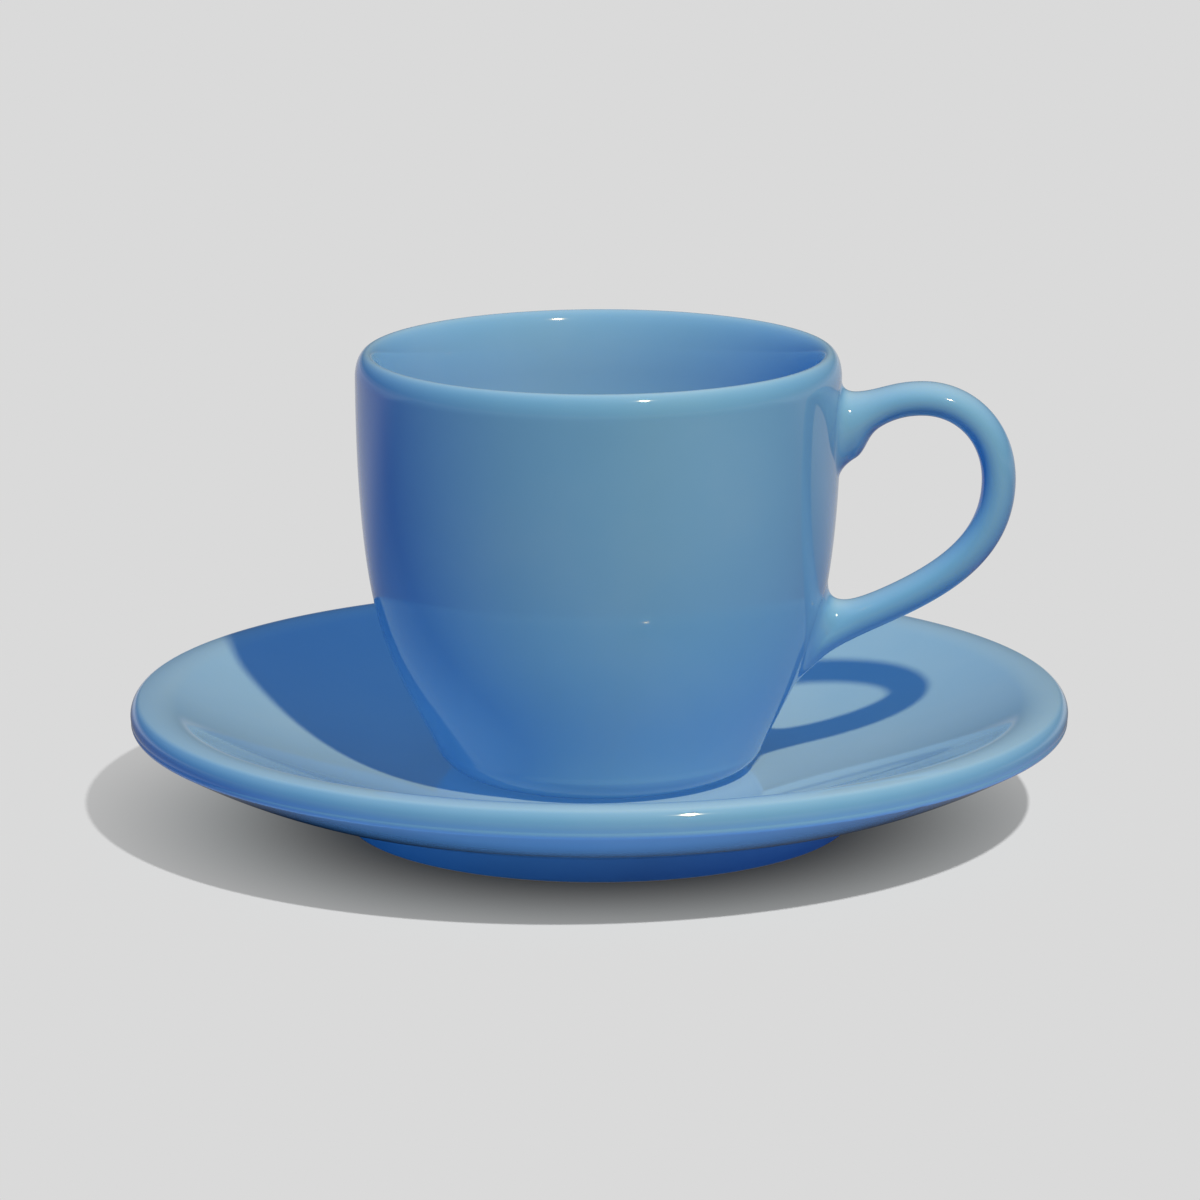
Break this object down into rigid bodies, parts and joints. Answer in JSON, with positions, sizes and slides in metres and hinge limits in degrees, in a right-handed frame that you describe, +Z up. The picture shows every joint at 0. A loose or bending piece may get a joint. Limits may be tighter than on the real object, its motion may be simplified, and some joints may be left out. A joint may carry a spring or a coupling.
{
  "type": "coffee cup with saucer",
  "caption": "Glazed ceramic coffee cup with a swelling wall, soft rim and open loop handle, standing on a round footed saucer that it lifts off.",
  "frame": {"origin": "centre of the saucer's foot ring on the surface that it stands on", "axes": "+Z up along the common axis of cup and saucer, +X toward the handle, +Y toward the side away from the picture's view"},
  "size_m": [0.15, 0.15, 0.076],
  "materials": {
    "saucer_glaze": "gloss blue glaze, bare foot ring",
    "cup_glaze": "gloss blue glaze, bare foot ring",
    "handle_glaze": "gloss blue glaze"
  },
  "bodies": {
    "saucer": {"saucer": "saucer_glaze"},
    "cup": {"cup_body": "cup_glaze", "handle": "handle_glaze"}
  },
  "joints": [
    {"name": "cup_lift", "type": "slide", "parent": "saucer", "child": "cup", "axis": [0, 0, 1], "range_m": [0, 0.12]}
  ]
}
